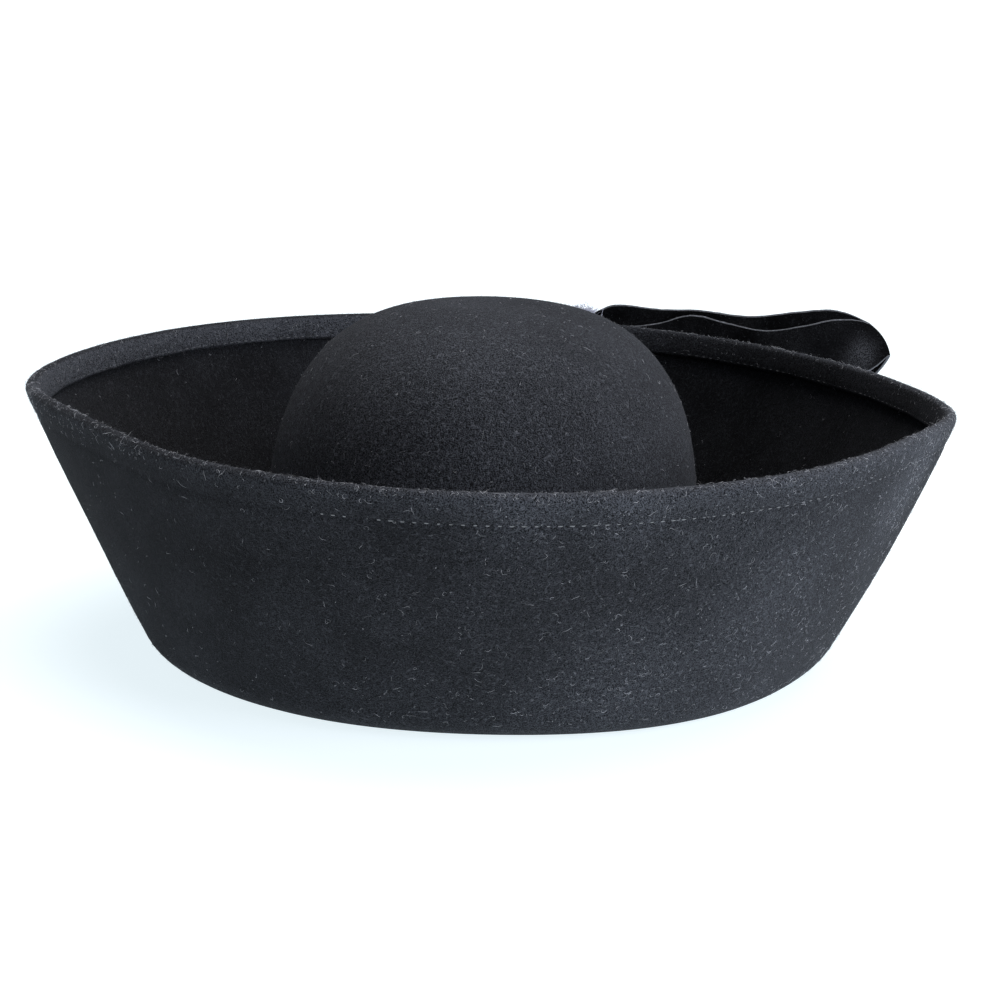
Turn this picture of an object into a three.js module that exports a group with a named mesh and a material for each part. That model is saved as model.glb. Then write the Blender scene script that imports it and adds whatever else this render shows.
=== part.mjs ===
// Breton hat of dark wool felt: a domed crown inside a deep upturned brim, with a felt bow sewn
// to the outside of the brim at the back, just under the rim. All sizes are millimetres.
//
// +Z is up and the hat stands on the lowest ring of its brim. The wearer would face -Y, so +X is
// the wearer's left and the bow is at the back, +Y. Angles go anticlockwise seen from above, from +X.

import * as THREE from 'three';
import { LoftGeometry } from 'three/addons/geometries/LoftGeometry.js';

// Felt and clearances
const FELT = 2.5;               // wall of the crown and the brim
const BOW_FELT = 2;             // thinner felt of the bow
const CLEARANCE = 0.3;          // left between pieces that are sewn together

// Crown: an oval dome, squarer than an ellipsoid
const CROWN = {
  halfWidth: 89,                // outside, side to side
  halfLength: 104,              // outside, front to back
  join: 24,                     // height of its lower edge above the table
  spring: 26.5,                 // height where the dome starts to curve in
  top: 140,
  fullness: 2.95,               // exponent of the dome's outline, 2 for an ellipse
};

// Brim: where the wall's line would meet the table, how far out the rim reaches and how high it is
const BRIM_STATIONS = [
  { at: 15, foot: 144, reach: 189, height: 103 },
  { at: 45, foot: 148, reach: 192, height: 104 },
  { at: 75, foot: 153, reach: 197, height: 106 },
  { at: 105, foot: 152, reach: 199, height: 108 },
  { at: 135, foot: 145, reach: 195, height: 108 },
  { at: 165, foot: 138, reach: 190, height: 106 },
  { at: 195, foot: 133, reach: 186, height: 103 },
  { at: 225, foot: 142, reach: 180, height: 105 },
  { at: 255, foot: 144, reach: 191, height: 102 },
  { at: 285, foot: 142, reach: 197, height: 101.5 },
  { at: 315, foot: 145, reach: 189, height: 103 },
  { at: 345, foot: 143, reach: 185, height: 106 },
];
const SIDE_TIPS = [{ at: 6, more: 3.3 }, { at: 192, more: 3.3 }];  // the rim is pinched out at each side
const TIP_SPREAD = 16;          // degrees over which a pinched tip fades
const CORNER_RADIUS = 21;       // outside, where the brim turns up from the table
const WALL_SWELL = 2.1;         // how far the wall bows out at half its height
const FLOOR_RING = 8;           // width of the flat ring that the hat stands on
const HEM_DEPTH = 12;           // felt turned in over the rim and stitched down

// Bow: made up flat against the wall, then turned to the wall's lean
const BOW_HEIGHT = 100;         // of the bow's middle above the table
const BOW_SHIFT = -6;           // its middle is sewn a little to the wearer's right of the centre back
const RIGHT_DROOP = 14;         // degrees that the wearer's right loop hangs below the left one
const KNOT = {
  halfWidth: 10,                // along the bow
  halfHeight: 15.5,
  halfDepth: 6,
  middle: 0.5,                  // height of its middle on the wall's slope
  squareness: 4,                // exponent of its section, 2 for an ellipse
  edgeWidth: 2,                 // its two ends draw in a little
  edgeDrop: 0.8,
};

// One row for each fold of a loop's strip, from inside the knot along the front layer and back along
// the rear one. topAt and footAt are distances along the bow, top and foot are heights of the strip's
// edges on the wall's slope, and out is the distance off the brim.
const LOOP_FOLDS = [
  { topAt: 6, top: 9, footAt: 6, foot: -7, out: 4.5 },
  { topAt: 30, top: 8.5, footAt: 28, foot: -16, out: 6 },
  { topAt: 46, top: 11.5, footAt: 44, foot: -18, out: 7 },
  { topAt: 63, top: 17.5, footAt: 62, foot: -19, out: 9 },
  { topAt: 82, top: 14, footAt: 81, foot: -19.5, out: 8 },
  { topAt: 100, top: 11.5, footAt: 99, foot: -19, out: 8 },
  { topAt: 118, top: 15.5, footAt: 118, foot: -17, out: 10 },
  { topAt: 134, top: 21, footAt: 136, foot: -13, out: 14 },
  { topAt: 146, top: 22, footAt: 153, foot: -3, out: 18 },
  { topAt: 151, top: 20.5, footAt: 161, foot: 6, out: 22.5 },
  { topAt: 146, top: 25.5, footAt: 156, foot: -2, out: 26.5 },
  { topAt: 132, top: 29.5, footAt: 140, foot: -12, out: 27 },
  { topAt: 114, top: 27, footAt: 118, foot: -16, out: 25 },
  { topAt: 90, top: 22, footAt: 90, foot: -18, out: 21 },
  { topAt: 66, top: 22.5, footAt: 66, foot: -18.5, out: 17 },
  { topAt: 46, top: 21, footAt: 46, foot: -17.5, out: 14 },
  { topAt: 25, top: 19.5, footAt: 27, foot: -15, out: 11 },
  { topAt: 6, top: 9, footAt: 6, foot: -7, out: 8.1 },
];

// How finely curves are cut into facets
const ROUND_STEPS = 64;
const DOME_STEPS = 12;
const DISH_STEPS = 5;
const CORNER_STEPS = 4;
const WALL_STEPS = 3;
const FOLD_STEPS = 4;
const LOOP_STEPS = 44;
const STRIP_STEPS = 3;
const KNOT_STEPS = 22;

const BLACK_FELT = new THREE.MeshStandardMaterial({ color: 0x24262b, roughness: 0.96, metalness: 0 });
const BOW_BLACK = new THREE.MeshStandardMaterial({ color: 0x1d1e21, roughness: 0.96, metalness: 0 });

const radians = THREE.MathUtils.degToRad;
const steps = (count) => Array.from({ length: count + 1 }, (_, index) => index / count);
const roundAngles = steps(ROUND_STEPS).map((turn) => turn * 2 * Math.PI);

// A closed solid through rings of points. The last ring joins the first, or both shrink to a point
function loopedSolid(name, rings, material) {
  return namedMesh(name, new LoftGeometry(rings, { closed: true }), material);
}

// A closed solid through rings of points, with flat caps on its two ends
function cappedSolid(name, rings, material) {
  const options = { closed: true, capStart: true, capEnd: true };
  return namedMesh(name, new LoftGeometry(rings, options), material);
}

function namedMesh(name, geometry, material) {
  const mesh = new THREE.Mesh(geometry, material);
  mesh.name = name;
  return mesh;
}

// Radius of the crown's outside at its lower edge
function headRadius(angle) {
  const { halfWidth: a, halfLength: b } = CROWN;
  return (a * b) / Math.hypot(b * Math.cos(angle), a * Math.sin(angle));
}

// The dome's profile from its pole to its lower edge, as shares of its span and its height.
// A smaller inset traces the outside, a larger one the inside of the wall.
function domeRings(inset) {
  const rise = CROWN.top - CROWN.spring;
  const power = 2 / CROWN.fullness;
  const profile = steps(DOME_STEPS).slice(1).map((share) => {
    const turn = Math.PI / 2 * (1 - share);
    return { span: Math.cos(turn) ** power, z: CROWN.spring + (rise - inset) * Math.sin(turn) ** power };
  });
  profile.unshift({ span: 0, z: CROWN.top - inset });
  profile.push({ span: 1, z: CROWN.join });
  return profile.map(({ span, z }) => roundAngles.slice(0, -1).map((angle) => {
    const radius = (headRadius(angle) - inset) * span;
    return new THREE.Vector3(radius * Math.cos(angle), -radius * Math.sin(angle), z);
  }));
}

function makeCrown() {
  const outside = domeRings(0);
  const inside = domeRings(FELT).reverse();
  return loopedSolid('crown', [...outside, ...inside], BLACK_FELT);
}

// A smooth curve through the brim's stations, whose x, y and z are the foot, reach and height
const stationCurve = new THREE.CatmullRomCurve3(
  BRIM_STATIONS.map(({ foot, reach, height }) => new THREE.Vector3(foot, reach, height)),
  true,
  'catmullrom',
);

// How far the wall bows out, at a share of the way from its foot to the rim
const swellAt = (share) => 4 * WALL_SWELL * share * (1 - share);

// Foot, reach and height of the brim at any angle, with the pinched side tips
function brimAt(angle) {
  const turn = THREE.MathUtils.euclideanModulo(angle - radians(BRIM_STATIONS[0].at), 2 * Math.PI);
  const { x: foot, y, z: height } = stationCurve.getPoint(turn / (2 * Math.PI));
  const pinch = SIDE_TIPS.reduce((sum, { at, more }) => {
    const away = THREE.MathUtils.euclideanModulo(angle - radians(at) + Math.PI, 2 * Math.PI) - Math.PI;
    return sum + more * Math.exp(-((away / radians(TIP_SPREAD)) ** 2));
  }, 0);
  return { foot, reach: y + pinch, height };
}

// The brim's section at one angle, as points of radius and height: the outer face from the headline
// out to the rim, the rounded fold over the rim, the hem's raw edge and the inner face back again
function brimSection(angle) {
  const { foot, reach, height } = brimAt(angle);
  const lean = Math.atan2(reach - foot, height);
  const up = new THREE.Vector2(Math.sin(lean), Math.cos(lean));
  const inward = new THREE.Vector2(-up.y, up.x);
  const cornerTurn = Math.PI / 2 - lean;
  const cornerAt = new THREE.Vector2(foot - CORNER_RADIUS * Math.tan(cornerTurn / 2), CORNER_RADIUS);
  const headline = headRadius(angle) + CLEARANCE;
  const dishWidth = cornerAt.x - FLOOR_RING - headline;
  const rimEnd = new THREE.Vector2(reach, height).addScaledVector(up, -FELT);

  // A point of the dish, the corner or the wall, a share of the way along it, at a depth in the felt
  const dishPoint = (share, depth) => {
    const along = new THREE.Vector2(dishWidth, -2 * CROWN.join * (1 - share)).normalize();
    const point = new THREE.Vector2(headline + dishWidth * share, CROWN.join * (1 - share) ** 2);
    return point.add(new THREE.Vector2(-along.y, along.x).multiplyScalar(depth));
  };
  const cornerPoint = (share, depth) => {
    const turn = cornerTurn * share;
    const radius = CORNER_RADIUS - depth;
    return new THREE.Vector2(radius * Math.sin(turn), -radius * Math.cos(turn)).add(cornerAt);
  };
  const wallFoot = cornerPoint(1, 0);
  const wallPoint = (share, depth) => {
    return wallFoot.clone().lerp(rimEnd, share).addScaledVector(inward, depth - swellAt(share));
  };
  const face = (depth) => [
    ...steps(DISH_STEPS).map((share) => dishPoint(share, depth)),
    ...steps(CORNER_STEPS).map((share) => cornerPoint(share, depth)),
    ...steps(WALL_STEPS).slice(1).map((share) => wallPoint(share, depth)),
  ];

  const foldCentre = rimEnd.clone().addScaledVector(inward, FELT);
  const fold = steps(FOLD_STEPS).slice(1).map((share) => foldCentre.clone()
    .addScaledVector(inward, -FELT * Math.cos(Math.PI * share))
    .addScaledVector(up, FELT * Math.sin(Math.PI * share)));
  const hemShare = 1 - (HEM_DEPTH - FELT) / wallFoot.distanceTo(rimEnd);
  const hem = [wallPoint(hemShare, 2 * FELT), wallPoint(hemShare, FELT)];
  const innerFace = face(FELT).slice(0, -1).reverse();
  const headlineSlope = 2 * CROWN.join / dishWidth;
  const headlineTop = new THREE.Vector2(headline, CROWN.join + FELT * Math.hypot(1, headlineSlope));
  return [...face(0), ...fold, ...hem, ...innerFace, headlineTop];
}

function makeBrim() {
  const rings = roundAngles.map((angle) => brimSection(angle).reverse().map(({ x: radius, y: height }) =>
    new THREE.Vector3(radius * Math.cos(angle), radius * Math.sin(angle), height)));
  return loopedSolid('brim', rings, BLACK_FELT);
}

// The bow's own axes: along the brim, off it, and up its slope, from a point on the wall's outside
function bowFrame() {
  const { foot, reach, height } = brimAt(Math.PI / 2);
  const lean = Math.atan2(reach - foot, height);
  const share = BOW_HEIGHT / height;
  const wall = THREE.MathUtils.lerp(foot, reach, share) + swellAt(share);
  const group = new THREE.Group();
  group.position.set(BOW_SHIFT, wall, BOW_HEIGHT);
  group.rotation.x = -lean;
  return group;
}

// A strip of felt bent through its folds. In the bow's frame x is along, y is off the brim, z is up.
function makeLoop(name, side, droop) {
  const fall = Math.tan(radians(droop));
  const edge = (at, heightKey) => new THREE.CatmullRomCurve3(
    LOOP_FOLDS.map((fold) => {
      const clear = Math.max(0, fold[at] - KNOT.halfWidth);
      return new THREE.Vector3(side * fold[at], fold.out, fold[heightKey] - fall * clear);
    }),
    false,
    'centripetal',
  );
  const top = edge('topAt', 'top');
  const foot = edge('footAt', 'foot');
  const sections = steps(LOOP_STEPS).map((share) => {
    const upper = top.getPoint(share);
    const lower = foot.getPoint(share);
    const along = top.getTangent(share).add(foot.getTangent(share));
    const half = new THREE.Vector3().crossVectors(along, upper.clone().sub(lower))
      .normalize()
      .multiplyScalar(side * BOW_FELT / 2);
    const front = steps(STRIP_STEPS).map((rise) => lower.clone().lerp(upper, rise).add(half));
    const rear = steps(STRIP_STEPS).map((rise) => upper.clone().lerp(lower, rise).sub(half));
    return side > 0 ? [...front, ...rear].reverse() : [...front, ...rear];
  });
  return cappedSolid(name, sections, BOW_BLACK);
}

// The felt band round the bow's middle: a short tube with softly rounded ends, against the brim
function makeKnot() {
  const { halfWidth, halfHeight, halfDepth, middle, squareness, edgeWidth, edgeDrop } = KNOT;
  const squared = (value) => Math.sign(value) * Math.abs(value) ** (2 / squareness);
  const ring = ({ x, inset }) => steps(KNOT_STEPS).slice(0, -1).map((turn) => {
    const angle = turn * 2 * Math.PI;
    const y = CLEARANCE + halfDepth + (halfDepth - inset) * squared(Math.cos(angle));
    return new THREE.Vector3(x, y, middle + (halfHeight - inset) * squared(Math.sin(angle)));
  });
  const outside = [
    { x: -halfWidth, inset: edgeDrop },
    { x: edgeWidth - halfWidth, inset: 0 },
    { x: halfWidth - edgeWidth, inset: 0 },
    { x: halfWidth, inset: edgeDrop },
  ];
  const inside = [
    { x: halfWidth, inset: BOW_FELT },
    { x: -halfWidth, inset: BOW_FELT },
  ];
  return loopedSolid('bow_knot', [...outside, ...inside, outside[0]].map(ring), BOW_BLACK);
}

const bow = bowFrame();
bow.add(makeKnot());
bow.add(makeLoop('bow_loop_left', 1, 0));
bow.add(makeLoop('bow_loop_right', -1, RIGHT_DROOP));

const hat = new THREE.Group();
hat.add(makeCrown(), makeBrim(), bow);

// The origin is on the table, under the middle of the whole hat
hat.updateMatrixWorld(true);
const middle = new THREE.Box3().setFromObject(hat, true).getCenter(new THREE.Vector3());
hat.position.set(-middle.x, -middle.y, 0);

export default hat;
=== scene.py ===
"""Breton hat of black wool felt: the felt, the bow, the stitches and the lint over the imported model."""

import math
from collections import namedtuple

import bmesh
import bpy
import numpy as np
from bpy.props import FloatProperty, FloatVectorProperty, IntProperty, PointerProperty
from mathutils import Matrix, Vector, noise


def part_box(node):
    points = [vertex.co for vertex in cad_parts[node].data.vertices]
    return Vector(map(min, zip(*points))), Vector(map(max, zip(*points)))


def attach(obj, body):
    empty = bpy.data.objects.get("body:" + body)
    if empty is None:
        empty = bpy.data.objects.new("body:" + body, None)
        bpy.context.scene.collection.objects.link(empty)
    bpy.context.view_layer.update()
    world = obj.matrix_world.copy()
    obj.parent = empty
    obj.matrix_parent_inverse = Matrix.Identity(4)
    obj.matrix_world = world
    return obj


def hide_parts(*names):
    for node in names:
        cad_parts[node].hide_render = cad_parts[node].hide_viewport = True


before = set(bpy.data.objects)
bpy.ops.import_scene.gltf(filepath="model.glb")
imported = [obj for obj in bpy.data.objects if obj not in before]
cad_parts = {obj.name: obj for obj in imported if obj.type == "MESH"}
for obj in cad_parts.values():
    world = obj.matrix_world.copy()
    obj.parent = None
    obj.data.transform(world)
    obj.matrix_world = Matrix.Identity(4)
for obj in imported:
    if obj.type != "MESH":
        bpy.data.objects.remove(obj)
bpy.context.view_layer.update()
CROWN_LOW, CROWN_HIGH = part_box("crown")
# Where the crown's axis meets the table
AXIS = Vector(((CROWN_LOW[0] + CROWN_HIGH[0]) / 2, (CROWN_LOW[1] + CROWN_HIGH[1]) / 2, 0))
HALF_WIDTH, HALF_LENGTH = (CROWN_HIGH[0] - CROWN_LOW[0]) / 2, (CROWN_HIGH[1] - CROWN_LOW[1]) / 2
JOIN, TOP = CROWN_LOW[2], CROWN_HIGH[2]

bl_info = {
    "name": "Breton Hat",
    "version": (1, 0, 0),
    "blender": (4, 5, 0),
    "location": "View3D > Sidebar > Hat",
    "description": "Builds a breton hat of black wool felt with a bow at the back",
    "category": "Add Mesh",
}

MM = 0.001

# Brim: where the wall's line would meet the table, how far out the rim reaches and how high it is, in
# millimetres, every 30 degrees from the first, which is counted from the wearer's left
FIRST_STATION = 15
BRIM_STATIONS = (
    (144, 189, 103), (148, 192, 104), (153, 197, 106),
    (152, 199, 108), (145, 195, 108), (138, 190, 106),
    (133, 186, 103), (142, 180, 105), (144, 191, 102),
    (142, 197, 101.5), (145, 189, 103), (143, 185, 106),
)
SIDE_TIPS = (6, 192)            # degrees at which the rim is drawn out to a soft point
TIP_REACH = 3.3 * MM
TIP_SPREAD = math.radians(16)
CORNER_RADIUS = 21 * MM         # where the wall turns up from the table
WALL_SWELL = 2.1 * MM           # how far the wall bows out, half way up
FLOOR_RING = 8 * MM             # width of the flat ring that the hat stands on
SEAM = 0.04 * MM                # closer than the model's 0.3 mm, so that hardly any light comes through

# Crown: the height where the dome springs from its upright foot, and how full its curve is, 2 being round
SPRING = 26.5 * MM
FULLNESS = 2.95

# Bow: the folds of one loop's strip, in millimetres, from the knot along the front and back behind it:
# the upper edge's place along the brim and its height, the same of the lower edge, and how far off the brim
LOOP_FOLDS = (
    (6, 9, 6, -7, 4.5), (30, 8.5, 28, -16, 6), (46, 11.5, 44, -18, 7),
    (63, 17.5, 62, -19, 9), (82, 14, 81, -19.5, 8), (100, 11.5, 99, -19, 8),
    (118, 15.5, 118, -17, 10), (134, 21, 136, -13, 14), (146, 22, 153, -3, 18),
    (151, 20.5, 161, 6, 22.5), (146, 25.5, 156, -2, 26.5), (132, 29.5, 140, -12, 27),
    (114, 27, 118, -16, 25), (90, 22, 90, -18, 21), (66, 22.5, 66, -18.5, 17),
    (46, 21, 46, -17.5, 14), (23, 20.5, 27, -15, 11), (6, 11, 6, -7, 8.1),
)
BOW_HEIGHT = 100 * MM
BOW_SHIFT = -6 * MM             # off the centre back, to the wearer's right
RIGHT_DROOP = math.radians(14)
KNOT_WIDTH = 20 * MM
KNOT_HEIGHT = 31 * MM
KNOT_DEPTH = 12 * MM
KNOT_MIDDLE = 0.5 * MM
KNOT_GAP = 0.3 * MM             # between the knot and the brim, for the stitches
KNOT_SQUARENESS = 4             # 2 would be an oval


def linear(code):
    """A colour written as sRGB hex, as linear red, green and blue."""
    shares = [int(code[at:at + 2], 16) / 255 for at in (0, 2, 4)]
    return tuple(c / 12.92 if c <= 0.04045 else ((c + 0.055) / 1.055) ** 2.4 for c in shares)


def colour(name, description, code):
    """A colour that a user can change."""
    return FloatVectorProperty(name=name, description=description, subtype="COLOR", min=0, max=1,
                               default=linear(code))


def length(name, description, millimetres):
    """A length that a user can change."""
    return FloatProperty(name=name, description=description, unit="LENGTH", precision=5, min=0,
                         default=millimetres * MM)


def tilt(name, description, degrees):
    """An angle that a user can change."""
    return FloatProperty(name=name, description=description, subtype="ANGLE", default=math.radians(degrees))


class HatSizes(bpy.types.PropertyGroup):
    """Sizes of the felt, the sewing and the fibres"""
    felt: length("Felt", "Thickness of the crown and the brim", 2.5)
    bow_felt: length("Bow felt", "Thickness of the bow's felt", 2)
    hem_depth: length("Hem depth", "Felt turned in over the rim", 12)
    stitch_drop: length("Stitch line", "Depth of the stitches below the rim", 11)
    stitch_pitch: length("Stitch pitch", "From one stitch to the next", 4)
    stitch_length: length("Stitch length", "Thread that shows between two holes", 2.1)
    thread: length("Thread", "Thickness of the sewing thread", 0.5)
    wobble: length("Wobble", "How far the hand-shaped felt strays from its form", 0.5)
    nap: IntProperty(name="Nap", description="Fine fibres on the brim, twice as many as on the crown",
                     default=24000, min=20)
    lint: IntProperty(name="Lint", description="Pale curled fibres caught on the brim", default=5600, min=4)


class HatColours(bpy.types.PropertyGroup):
    """Colours of the felt, the thread and the fibres"""
    felt: colour("Felt", "Black wool of the crown and the brim", "0e0e10")
    # the light grain colour also paints the highlight on the hem's inside and, in part, the brim's paler side
    felt_light: colour("Felt, light grain", "Worn and dusty grain of the same wool", "494b52")
    fibre: colour("Fibre", "Single pale fibres felted into the wool", "8f929d")
    bow: colour("Bow", "Thinner black wool of the bow", "050506")
    # the bow's light grain colour also paints the highlight on the loop's face near its end
    bow_light: colour("Bow, light grain", "Grain of the bow's wool, and where it is rubbed", "45464b")
    # the cut edge's colour is partly the open wool and partly a painted highlight along the edge
    bow_edge_and_highlight: colour("Bow, cut edge", "Edge where the bow's felt was cut", "58595d")
    thread: colour("Thread", "Sewing thread of the hem", "85878c")
    lint: colour("Lint", "Curled fibres caught on the hat", "c4c5cd")
    tuft: colour("Tuft", "Lint caught beside the bow's knot", "c9cbe0")


class HatStage(bpy.types.PropertyGroup):
    """Camera, as seen from the front of the hat"""
    azimuth: tilt("Azimuth", "Turn to the wearer's left", 12)
    elevation: tilt("Elevation", "Height above the table", 12.53)
    roll: tilt("Roll", "Tilt of the camera", 1.9)
    distance: length("Distance", "From the camera to the middle of the hat", 883.4)
    lens: FloatProperty(name="Lens", description="Focal length for a 36 mm wide sensor", unit="CAMERA",
                        default=76.1)


def head_radius(angle):
    """Radius of the crown's outside at its lower edge."""
    return HALF_WIDTH * HALF_LENGTH / math.hypot(HALF_LENGTH * math.cos(angle), HALF_WIDTH * math.sin(angle))


def curve_point(before, start, end, after, share, knots=(1, 1, 1)):
    """A point of a Catmull-Rom curve between start and end, with the given spans between its knots."""
    first, middle, last = knots
    leaving = ((start - before) / first - (end - before) / (first + middle) + (end - start) / middle) * middle
    arriving = ((end - start) / middle - (after - start) / (middle + last) + (after - end) / last) * middle
    s2, s3 = share ** 2, share ** 3
    return (start * (2 * s3 - 3 * s2 + 1) + leaving * (s3 - 2 * s2 + share)
            + end * (3 * s2 - 2 * s3) + arriving * (s3 - s2))


def brim_at(angle):
    """Foot, reach and height of the brim at an angle."""
    count = len(BRIM_STATIONS)
    turn = (math.degrees(angle) - FIRST_STATION) % 360 / 360 * count
    index = int(turn)
    near = [Vector(BRIM_STATIONS[(index + step) % count]) * MM for step in (-1, 0, 1, 2)]
    foot, reach, height = curve_point(*near, turn - index)
    for tip in SIDE_TIPS:
        away = (angle - math.radians(tip) + math.pi) % (2 * math.pi) - math.pi
        reach += TIP_REACH * math.exp(-((away / TIP_SPREAD) ** 2))
    return foot, reach, height


def swell_at(share):
    """How far the brim's wall bows out, at a share of the way up it."""
    return 4 * WALL_SWELL * share * (1 - share)


Spot = namedtuple("Spot", "radius height below_rim inside")
RIM_FINE = 18               # steps of a millimetre below the rim
WALL_COARSE = 18            # steps of the rest of the wall
CORNER_STEPS = 10
DISH_STEPS = 14
FOLD_STEPS = 8
HEM_STEPS = 10
HEM_GAP = 0.4 * MM          # from the hem's raw edge to the wall's inside below it
HEM_RAGS = 9                # how closely the raw edge's unevenness follows itself round the hat
RAG_DEPTH = 0.6 * MM
RAW_SOFTNESS = 0.25         # rounding of the raw edge, as a share of the felt's thickness
UPRIGHT_SHARE = 4           # one over the share of the dish in which the cut edge turns square to it
FAR_BELOW = 0.2             # metres below the rim, for all that isn't wall


class BrimSection:
    """The brim's section at one angle, as points of radius and height."""

    def __init__(self, angle, sizes):
        foot, reach, height = brim_at(angle)
        self.felt = sizes.felt
        lean = math.atan2(reach - foot, height)
        self.up = Vector((math.sin(lean), math.cos(lean)))
        self.inward = Vector((-self.up.y, self.up.x))
        self.turn = math.pi / 2 - lean
        self.corner = Vector((foot - CORNER_RADIUS * math.tan(self.turn / 2), CORNER_RADIUS))
        self.headline = head_radius(angle) + SEAM
        self.dish_width = self.corner.x - FLOOR_RING - self.headline
        self.rim_end = Vector((reach, height)) - self.up * self.felt
        self.wall_foot = self.corner_point(1, 0)
        self.wall_length = (self.rim_end - self.wall_foot).length
        ragged = noise.noise(Vector((HEM_RAGS * math.cos(angle), HEM_RAGS * math.sin(angle), 4)))
        self.hem = sizes.hem_depth - self.felt + RAG_DEPTH * ragged

    def dish_point(self, share, depth):
        """A point of the dish, from the headline out to the flat ring.

        The cut edge at the headline stands upright against the crown."""
        along = Vector((self.dish_width, -2 * JOIN * (1 - share))).normalized()
        point = Vector((self.headline + self.dish_width * share, JOIN * (1 - share) ** 2))
        square = min(1, UPRIGHT_SHARE * share)
        return point + Vector((-along.y * square, along.x)) * depth

    def corner_point(self, share, depth):
        """A point of the corner, from the flat ring up to the foot of the wall."""
        turn = self.turn * share
        radius = CORNER_RADIUS - depth
        return self.corner + Vector((math.sin(turn), -math.cos(turn))) * radius

    def wall_point(self, down, depth):
        """A point of the wall, a distance down from where the fold starts."""
        share = 1 - down / self.wall_length
        return self.wall_foot.lerp(self.rim_end, share) + self.inward * (depth - swell_at(share))

    def wall_downs(self, start):
        """Distances down the wall, a millimetre apart near the rim."""
        fine = [start + step * MM for step in range(RIM_FINE)]
        rest = self.wall_length - fine[-1]
        return fine + [fine[-1] + rest * step / WALL_COARSE for step in range(1, WALL_COARSE)]

    def low_part(self, depth, inside):
        """The dish, the flat ring and the corner, up to the foot of the wall."""
        points = [self.dish_point(step / DISH_STEPS, depth) for step in range(DISH_STEPS + 1)]
        points += [self.corner_point(step / CORNER_STEPS, depth) for step in range(CORNER_STEPS + 1)]
        return [Spot(*point, FAR_BELOW, inside) for point in points]

    def wall(self, start, depth, inside):
        """The wall from a distance below the fold down to its foot."""
        return [Spot(*self.wall_point(down, depth), down + self.felt, inside)
                for down in self.wall_downs(start)]

    def spots(self):
        """Outside from the headline to the rim, over it, and back along the inside."""
        felt = self.felt
        outside = self.low_part(0, 0) + self.wall(0, 0, 0)[::-1]
        middle = self.rim_end + self.inward * felt
        fold = []
        for step in range(1, FOLD_STEPS):
            turn = math.pi * step / FOLD_STEPS
            point = middle + self.inward * (-felt * math.cos(turn)) + self.up * (felt * math.sin(turn))
            fold.append(Spot(*point, felt * (1 - math.sin(turn)), 0.5))
        soft = RAW_SOFTNESS * felt
        turned_in = [(self.hem * step / HEM_STEPS, 2 * felt) for step in range(HEM_STEPS)]
        turned_in += [(self.hem - soft / 2, 2 * felt), (self.hem, 2 * felt - soft),
                      (self.hem + soft / 3, 1.5 * felt), (self.hem, felt + soft / 2),
                      (self.hem - soft / 4, felt)]
        hem = [Spot(*self.wall_point(down, depth), felt + down, 1) for down, depth in turned_in]
        inside = self.wall(self.hem + HEM_GAP, felt, 1) + self.low_part(felt, 1)[::-1]
        return outside + fold + hem + inside


MERGE = 0.002 * MM


def formed(around, across, place, layers):
    """A flat grid of felt, each point moved to place(i, j), with its seams and poles closed.

    What place gives after the point goes into the named layers."""
    bm = bmesh.new()
    bmesh.ops.create_grid(bm, x_segments=around, y_segments=across, size=0.5)
    kept = [bm.verts.layers.float.new(name) for name in layers]
    for vert in bm.verts:
        made = place(round((vert.co.x + 0.5) * around), round((vert.co.y + 0.5) * across))
        vert.co = made[0]
        for layer, value in zip(kept, made[1:]):
            vert[layer] = value
    bmesh.ops.remove_doubles(bm, verts=bm.verts, dist=MERGE)
    bmesh.ops.recalc_face_normals(bm, faces=bm.faces)
    return bm


def added(name, data):
    """A new object in the scene."""
    made = bpy.data.objects.new(name, data)
    bpy.context.scene.collection.objects.link(made)
    return made


def finish_piece(name, bm, materials):
    """A named object of the hat from a bmesh, smooth, on the one body."""
    mesh = bpy.data.meshes.new(name)
    bm.to_mesh(mesh)
    bm.free()
    return finish_mesh(name, mesh, materials)


def finish_mesh(name, mesh, materials):
    """A named object of the hat from a mesh."""
    for material in materials:
        mesh.materials.append(material_of(material))
    mesh.shade_smooth()
    piece = added(name, mesh)
    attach(piece, "root")
    return piece


SLOW_WAVES = 38 * MM
SMALL_LUMPS = 9 * MM


def strayed(point, reach):
    """How far hand-shaped felt strays at a point: slow waves and small lumps."""
    slow = noise.noise(point / SLOW_WAVES)
    small = noise.noise(point / SMALL_LUMPS + Vector((7, 3, 1)))
    return reach * (0.75 * slow + 0.2 * small)


# Places on the brim's outside where lint has gathered: angle in degrees, height and spread in mm, how much
LINT_PATCHES = (
    (345, 82, 17, 0.9),
    (350, 96, 12, 0.6),
    (322, 50, 24, 0.35),
    (300, 22, 26, 0.4),
    (286, 97, 13, 0.6),
    (298, 94, 12, 0.4),
    (203, 101, 12, 1.3),
)
# the side on which the brim is palest: partly dust, partly painted light on the window's side
DUST_AND_LIGHT_SIDE = math.radians(335)
DUSTY_BELOW = 60 * MM


def dust_and_light_at(radius, angle, height):
    """How much paler the brim's outside is painted, from 0 to about 1.5: dust low down and in patches of
    lint, and most on one side, where it is partly dust and partly painted light.
    """
    dust = 0.55 * np.clip(np.cos(angle - DUST_AND_LIGHT_SIDE), 0, 1) + 0.25 * np.clip(1 - height / DUSTY_BELOW, 0, 1)
    for at, middle, spread, more in LINT_PATCHES:
        away = np.mod(angle - math.radians(at) + math.pi, 2 * math.pi) - math.pi
        near = (away * radius) ** 2 + (height - middle * MM) ** 2
        dust = dust + more * np.exp(-near / (spread * MM) ** 2)
    return dust


RIM_ZONE = (104, 6)     # height of the rim, and how far from it fibres still gather, in mm
LINT_LOWEST = 7 * MM    # long fibres lower down would dip into the table


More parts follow.
